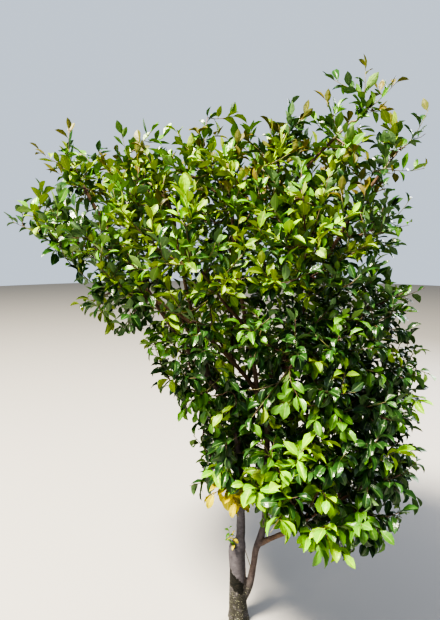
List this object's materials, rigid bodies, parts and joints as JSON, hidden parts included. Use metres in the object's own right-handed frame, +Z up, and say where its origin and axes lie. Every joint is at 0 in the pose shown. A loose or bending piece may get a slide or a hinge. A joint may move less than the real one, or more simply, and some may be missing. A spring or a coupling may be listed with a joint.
{
  "type": "camellia shrub",
  "caption": "Camellia shrub rooted in the ground: grey trunk with a second stem low on it, rising boughs and a wide, open crown of glossy pointed leaves.",
  "frame": {"origin": "middle of the flat cut under the trunk, at ground level", "axes": "+Z up along the trunk; the side shown in the picture faces -Y, with +X to its right"},
  "size_m": [1.4722, 0.9381, 2.0727],
  "materials": {
    "bark": "matt grey bark with lichen",
    "young_bark": "smooth brown bark",
    "foliage": "glossy evergreen leaves"
  },
  "bodies": {
    "root": {"trunk": "bark", "second_stem": "bark", "bough_left_top": "young_bark", "bough_centre": "young_bark", "bough_diagonal": "young_bark", "bough_right_top": "young_bark", "bough_top": "young_bark", "bough_upper_left": "young_bark", "bough_upper_right": "young_bark", "bough_left_tip": "young_bark", "bough_right": "young_bark", "bough_right_middle": "young_bark", "bough_middle_right": "young_bark", "bough_front_right": "young_bark", "bough_front": "young_bark", "bough_right_low": "young_bark", "bough_low_front": "young_bark", "bough_low_right": "young_bark", "bough_low_left": "young_bark", "bough_middle_left": "young_bark", "bough_back_left": "young_bark", "bough_back_top": "young_bark", "bough_back_middle": "young_bark", "bough_back_right": "young_bark", "bough_back_low_right": "young_bark", "bough_back_low": "young_bark", "leaves_left_top": "foliage", "leaves_centre": "foliage", "leaves_diagonal": "foliage", "leaves_right_top": "foliage", "leaves_top": "foliage", "leaves_upper_left": "foliage", "leaves_upper_right": "foliage", "leaves_left_tip": "foliage", "leaves_right": "foliage", "leaves_right_middle": "foliage", "leaves_middle_right": "foliage", "leaves_front_right": "foliage", "leaves_front": "foliage", "leaves_right_low": "foliage", "leaves_low_front": "foliage", "leaves_low_right": "foliage", "leaves_low_left": "foliage", "leaves_middle_left": "foliage", "leaves_back_left": "foliage", "leaves_back_top": "foliage", "leaves_back_middle": "foliage", "leaves_back_right": "foliage", "leaves_back_low_right": "foliage", "leaves_back_low": "foliage"}
  },
  "joints": []
}
